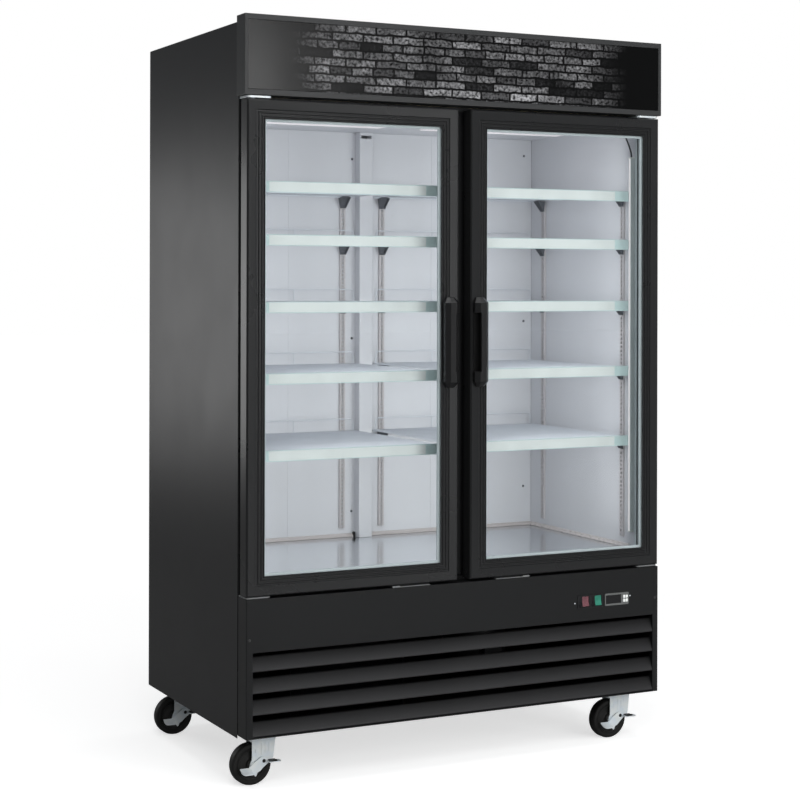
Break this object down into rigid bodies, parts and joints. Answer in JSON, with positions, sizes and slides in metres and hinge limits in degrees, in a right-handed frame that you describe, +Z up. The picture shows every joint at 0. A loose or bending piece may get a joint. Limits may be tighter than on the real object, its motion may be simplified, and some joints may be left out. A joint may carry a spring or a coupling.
{
  "type": "glass door merchandiser",
  "caption": "Upright display refrigerator with hinged glass doors, wire shelves, a header sign, a louvred base and locking swivel casters.",
  "frame": {"origin": "on the floor, under the middle of the whole object's box", "axes": "+Z up, doors face -Y, +X to the right of someone facing the doors"},
  "size_m": [1.35, 0.822, 2.1],
  "materials": {
    "black_steel": "satin",
    "compressor_black": "satin",
    "foam": "matte",
    "liner": "satin",
    "stainless": "satin",
    "black_frame": "satin",
    "header_trim": "satin",
    "sign": "gloss",
    "zinc": "satin",
    "glass": "polished",
    "gasket": "matte",
    "black_plastic": "satin",
    "red_lens": "gloss",
    "green_lens": "gloss",
    "white_button": "satin",
    "white_wire": "satin",
    "lamp": "satin",
    "aluminium": "satin",
    "rubber": "matte"
  },
  "bodies": {
    "cabinet": {"base_frame": "black_steel", "compressor": "compressor_black", "condenser": "aluminium", "controller": "black_plastic", "evaporator": "aluminium", "floor_plate": "stainless", "front_frame": "black_frame", "header_housing": "header_trim", "header_panel": "sign", "hinge_left_bottom": "zinc", "hinge_left_top": "zinc", "hinge_right_bottom": "zinc", "hinge_right_top": "zinc", "inner_liner": "liner", "insulation": "foam", "lamp_lead": "black_plastic", "lamp_left": "lamp", "lamp_right": "lamp", "lower_panel": "black_steel", "outer_case": "black_steel", "rear_duct_cover": "liner", "shelf_left_1": "white_wire", "shelf_left_2": "white_wire", "shelf_left_3": "white_wire", "shelf_left_4": "white_wire", "shelf_left_5": "white_wire", "shelf_right_1": "white_wire", "shelf_right_2": "white_wire", "shelf_right_3": "white_wire", "shelf_right_4": "white_wire", "shelf_right_5": "white_wire", "switch_bezel": "black_plastic"},
    "left_door": {"door_left_frame": "black_frame", "door_left_glass": "glass", "door_left_gasket": "gasket", "door_left_handle": "black_plastic"},
    "right_door": {"door_right_frame": "black_frame", "door_right_glass": "glass", "door_right_gasket": "gasket", "door_right_handle": "black_plastic"},
    "red_switch": {"rocker_red": "red_lens"},
    "green_switch": {"rocker_green": "green_lens"},
    "condenser_blades": {"condenser_fan": "black_plastic"},
    "evaporator_blades": {"evaporator_fan": "black_plastic"},
    "button_1": {"controller_button_1": "white_button"},
    "button_2": {"controller_button_2": "white_button"},
    "button_3": {"controller_button_3": "white_button"},
    "button_4": {"controller_button_4": "white_button"},
    "fork_front_left": {"caster_fork_front_left": "zinc"},
    "wheel_front_left": {"caster_wheel_front_left": "rubber"},
    "brake_front_left": {"caster_brake_front_left": "zinc"},
    "fork_rear_left": {"caster_fork_rear_left": "zinc"},
    "wheel_rear_left": {"caster_wheel_rear_left": "rubber"},
    "brake_rear_left": {"caster_brake_rear_left": "zinc"},
    "fork_front_right": {"caster_fork_front_right": "zinc"},
    "wheel_front_right": {"caster_wheel_front_right": "rubber"},
    "brake_front_right": {"caster_brake_front_right": "zinc"},
    "fork_rear_right": {"caster_fork_rear_right": "zinc"},
    "wheel_rear_right": {"caster_wheel_rear_right": "rubber"},
    "brake_rear_right": {"caster_brake_rear_right": "zinc"}
  },
  "joints": [
    {"name": "left_door_hinge", "type": "hinge", "parent": "cabinet", "child": "left_door", "pos_m": [-0.648, -0.364, 0.53], "axis": [0, 0, -1], "range_deg": [0, 100]},
    {"name": "right_door_hinge", "type": "hinge", "parent": "cabinet", "child": "right_door", "pos_m": [0.648, -0.364, 0.53], "axis": [0, 0, 1], "range_deg": [0, 100]},
    {"name": "red_rocker", "type": "hinge", "parent": "cabinet", "child": "red_switch", "pos_m": [0.403, -0.382, 0.437], "axis": [1, 0, 0], "range_deg": [0, 16]},
    {"name": "green_rocker", "type": "hinge", "parent": "cabinet", "child": "green_switch", "pos_m": [0.447, -0.382, 0.437], "axis": [1, 0, 0], "range_deg": [0, 16]},
    {"name": "button_1_press", "type": "slide", "parent": "cabinet", "child": "button_1", "axis": [0, 1, 0], "range_m": [0, 0.001], "stiffness_N_per_m": 200, "springref_m": -0.001},
    {"name": "button_2_press", "type": "slide", "parent": "cabinet", "child": "button_2", "axis": [0, 1, 0], "range_m": [0, 0.001], "stiffness_N_per_m": 200, "springref_m": -0.001},
    {"name": "button_3_press", "type": "slide", "parent": "cabinet", "child": "button_3", "axis": [0, 1, 0], "range_m": [0, 0.001], "stiffness_N_per_m": 200, "springref_m": -0.001},
    {"name": "button_4_press", "type": "slide", "parent": "cabinet", "child": "button_4", "axis": [0, 1, 0], "range_m": [0, 0.001], "stiffness_N_per_m": 200, "springref_m": -0.001},
    {"name": "condenser_fan_spin", "type": "hinge", "parent": "cabinet", "child": "condenser_blades", "pos_m": [-0.325, -0.206, 0.31], "axis": [0, 1, 0], "continuous": true},
    {"name": "evaporator_fan_spin", "type": "hinge", "parent": "cabinet", "child": "evaporator_blades", "pos_m": [0, 0.319, 0.88], "axis": [0, 1, 0], "continuous": true},
    {"name": "swivel_front_left", "type": "hinge", "parent": "cabinet", "child": "fork_front_left", "pos_m": [-0.583, -0.286, 0.1453], "axis": [0, 0, 1], "continuous": true},
    {"name": "roll_front_left", "type": "hinge", "parent": "fork_front_left", "child": "wheel_front_left", "pos_m": [-0.615, -0.286, 0.0575], "axis": [0, 1, 0], "continuous": true},
    {"name": "lock_front_left", "type": "hinge", "parent": "fork_front_left", "child": "brake_front_left", "pos_m": [-0.585, -0.31, 0.0675], "axis": [0, -1, 0], "range_deg": [0, 12]},
    {"name": "swivel_rear_left", "type": "hinge", "parent": "cabinet", "child": "fork_rear_left", "pos_m": [-0.583, 0.336, 0.1453], "axis": [0, 0, 1], "continuous": true},
    {"name": "roll_rear_left", "type": "hinge", "parent": "fork_rear_left", "child": "wheel_rear_left", "pos_m": [-0.615, 0.336, 0.0575], "axis": [0, 1, 0], "continuous": true},
    {"name": "lock_rear_left", "type": "hinge", "parent": "fork_rear_left", "child": "brake_rear_left", "pos_m": [-0.585, 0.312, 0.0675], "axis": [0, -1, 0], "range_deg": [0, 12]},
    {"name": "swivel_front_right", "type": "hinge", "parent": "cabinet", "child": "fork_front_right", "pos_m": [0.583, -0.286, 0.1453], "axis": [0, 0, 1], "continuous": true},
    {"name": "roll_front_right", "type": "hinge", "parent": "fork_front_right", "child": "wheel_front_right", "pos_m": [0.551, -0.286, 0.0575], "axis": [0, 1, 0], "continuous": true},
    {"name": "lock_front_right", "type": "hinge", "parent": "fork_front_right", "child": "brake_front_right", "pos_m": [0.581, -0.31, 0.0675], "axis": [0, -1, 0], "range_deg": [0, 12]},
    {"name": "swivel_rear_right", "type": "hinge", "parent": "cabinet", "child": "fork_rear_right", "pos_m": [0.583, 0.336, 0.1453], "axis": [0, 0, 1], "continuous": true},
    {"name": "roll_rear_right", "type": "hinge", "parent": "fork_rear_right", "child": "wheel_rear_right", "pos_m": [0.551, 0.336, 0.0575], "axis": [0, 1, 0], "continuous": true},
    {"name": "lock_rear_right", "type": "hinge", "parent": "fork_rear_right", "child": "brake_rear_right", "pos_m": [0.581, 0.312, 0.0675], "axis": [0, -1, 0], "range_deg": [0, 12]}
  ]
}
